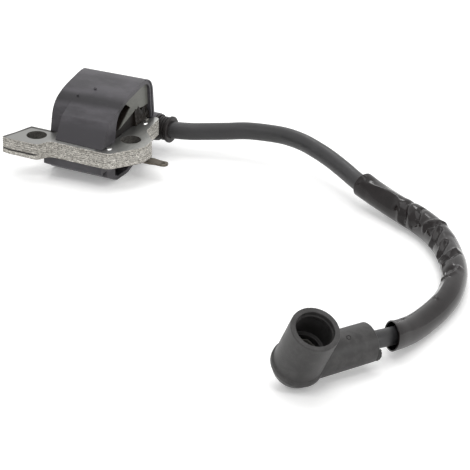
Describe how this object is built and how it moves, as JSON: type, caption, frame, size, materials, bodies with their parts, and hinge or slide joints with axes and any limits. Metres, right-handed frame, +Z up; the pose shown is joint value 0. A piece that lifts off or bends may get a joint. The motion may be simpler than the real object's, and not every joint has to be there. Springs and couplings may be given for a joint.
{
  "type": "ignition coil",
  "caption": "Potted ignition coil on a laminated core with mounting holes, high-tension lead, loose sleeve and right-angle spark plug boot.",
  "frame": {"origin": "bottom centre of the coil's own box, without the lead, sleeve and boot", "axes": "+X along the coil barrel towards its mouth, +Y towards the back wall with the lead gland, +Z up from the core's top sheet"},
  "size_m": [0.2205, 0.1941, 0.0349],
  "materials": {
    "core_steel": "varnished sheared steel sheets",
    "rivet_steel": "bright",
    "case_plastic": "satin moulded, dark grey",
    "resin": "satin cast resin",
    "bobbin_black": "glossy moulded",
    "bobbin_natural": "moulded",
    "copper": "enamelled copper",
    "board": "glass fibre board",
    "component_black": "moulded",
    "capacitor_film": "dipped",
    "tinned_metal": "tinned",
    "terminal_metal": "dull plated steel",
    "contact_brass": "drawn",
    "lead_rubber": "smooth",
    "sleeve_vinyl": "glossy soft vinyl",
    "boot_rubber": "matt moulded",
    "spring_steel": "plated"
  },
  "bodies": {
    "root": {"core_laminations": "core_steel", "core_bottom_sheets": "core_steel", "core_rivets": "rivet_steel", "coil_case": "case_plastic", "potting_resin": "resin", "primary_bobbin": "bobbin_black", "primary_winding": "copper", "secondary_bobbin": "bobbin_natural", "secondary_winding": "copper", "circuit_board": "board", "power_transistor": "component_black", "control_chip": "component_black", "storage_capacitor": "capacitor_film", "board_resistors": "component_black", "rectifier_diode": "component_black", "primary_leads": "copper", "ground_strap": "tinned_metal", "kill_terminal": "terminal_metal", "hv_contact_pin": "contact_brass", "lead_gland": "case_plastic", "lead_jacket": "lead_rubber", "lead_conductor": "copper", "protective_sleeve": "sleeve_vinyl", "plug_boot": "boot_rubber", "plug_spring": "spring_steel"}
  },
  "joints": []
}
